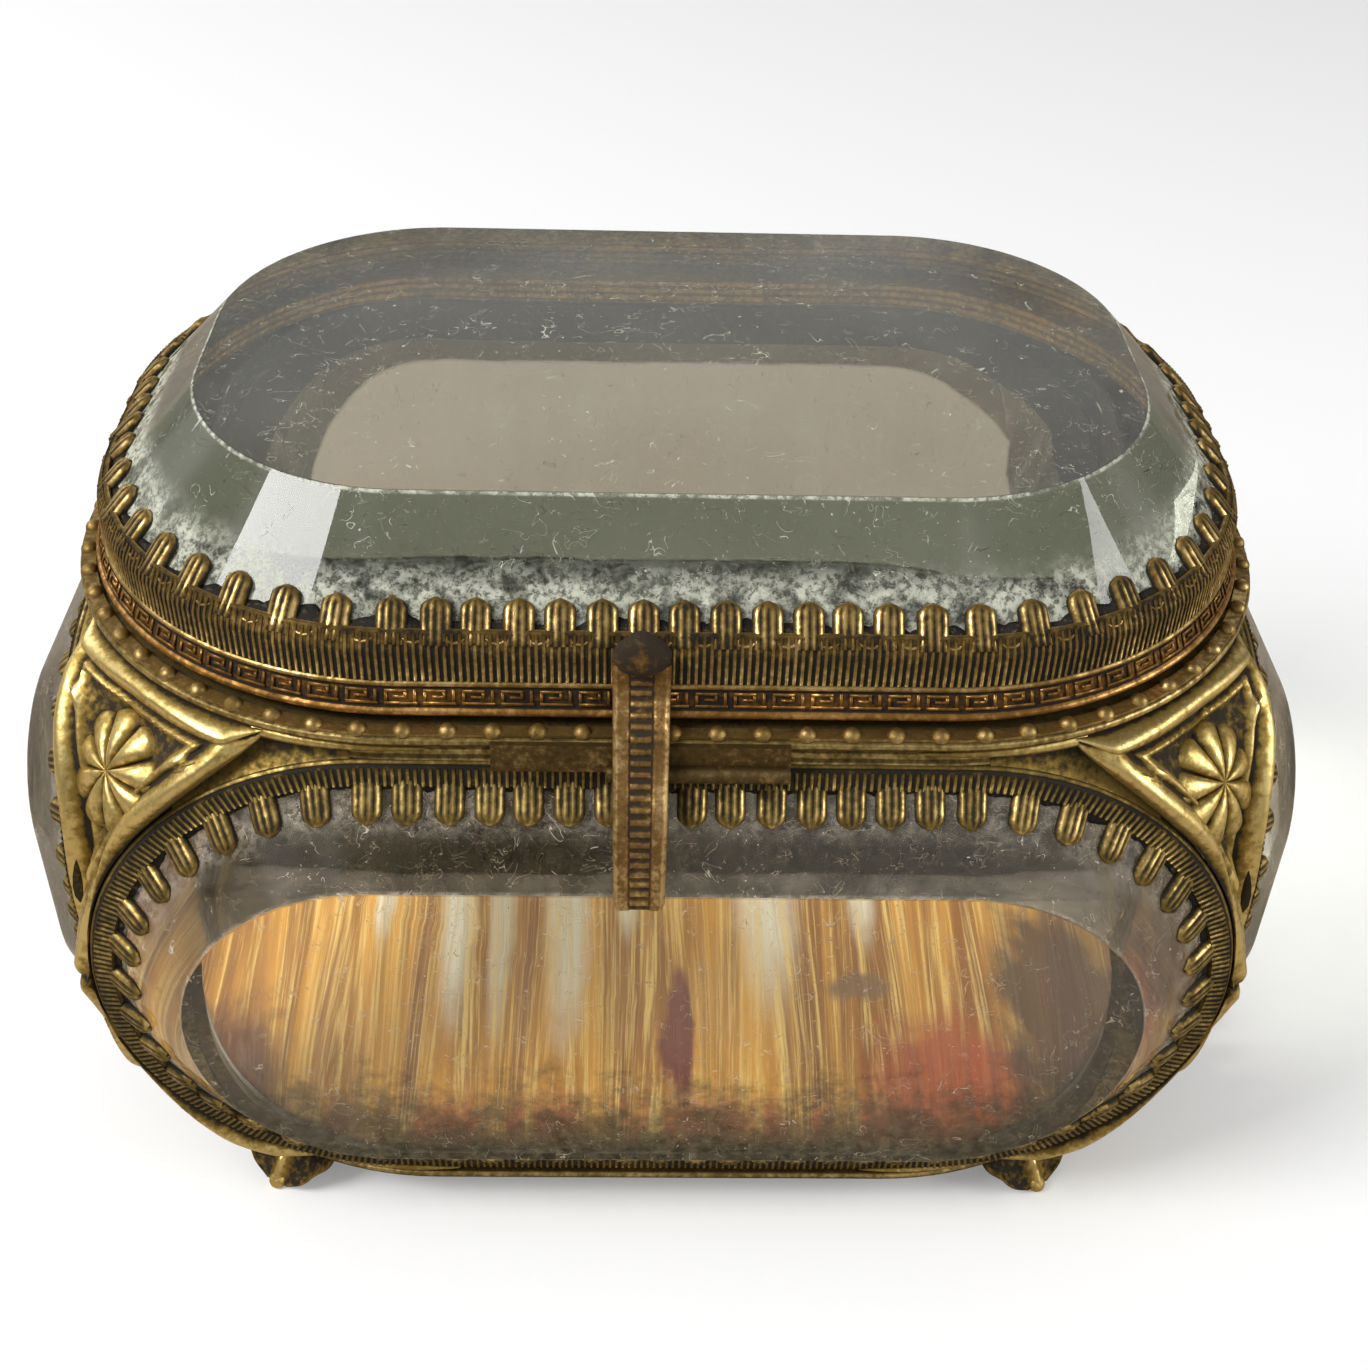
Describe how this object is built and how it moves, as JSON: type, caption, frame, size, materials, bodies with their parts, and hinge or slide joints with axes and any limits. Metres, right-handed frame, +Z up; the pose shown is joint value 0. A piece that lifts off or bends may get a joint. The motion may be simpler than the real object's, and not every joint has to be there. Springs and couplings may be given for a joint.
{
  "type": "bevelled glass casket",
  "caption": "Small casket of bevelled glass plates held by pronged brass galleries, with rosette corners, a beaded rim, a hinged glass lid, a sprung clasp tongue and a padded silk floor.",
  "frame": {"origin": "centre of the bounding box at the plane the feet stand on", "axes": "+Z up, -Y out of the front with the clasp, +X to the right seen from the front"},
  "size_m": [0.1172, 0.0842, 0.0773],
  "materials": {
    "glass": "thick bevelled plate with light scratches",
    "gilt": "worn gilding over dark recesses",
    "gilt_lid": "worn gilding, coppery along the fret",
    "brass_dark": "dull and tarnished",
    "card": "dull pasteboard",
    "wadding": "matted cotton wadding",
    "silk": "worn silk satin"
  },
  "bodies": {
    "casket_body": {"front_bezel": "gilt", "front_glass": "glass", "rear_bezel": "gilt", "rear_glass": "glass", "left_bezel": "gilt", "left_glass": "glass", "right_bezel": "gilt", "right_glass": "glass", "top_rim": "gilt", "bead_border": "gilt", "catch_plate": "brass_dark", "hinge_body_leaf": "brass_dark", "hinge_pin": "brass_dark", "corner_front_left_upper": "gilt", "corner_front_left_lower": "gilt", "corner_front_right_upper": "gilt", "corner_front_right_lower": "gilt", "corner_rear_left_upper": "gilt", "corner_rear_left_lower": "gilt", "corner_rear_right_upper": "gilt", "corner_rear_right_lower": "gilt", "base_rim": "brass_dark", "base_plate": "brass_dark", "foot_front_left": "gilt", "foot_front_right": "gilt", "foot_rear_left": "gilt", "foot_rear_right": "gilt", "lining_card": "card", "wadding": "wadding", "silk_cover": "silk"},
    "lid": {"lid_glass": "glass", "lid_bezel": "gilt_lid", "lid_seat_ring": "brass_dark", "clasp_tongue": "gilt", "hinge_lid_leaf": "brass_dark"}
  },
  "joints": [
    {"name": "lid_hinge", "type": "hinge", "parent": "casket_body", "child": "lid", "pos_m": [0, 0.0372, 0.064], "axis": [-1, 0, 0], "range_deg": [0, 105]}
  ]
}
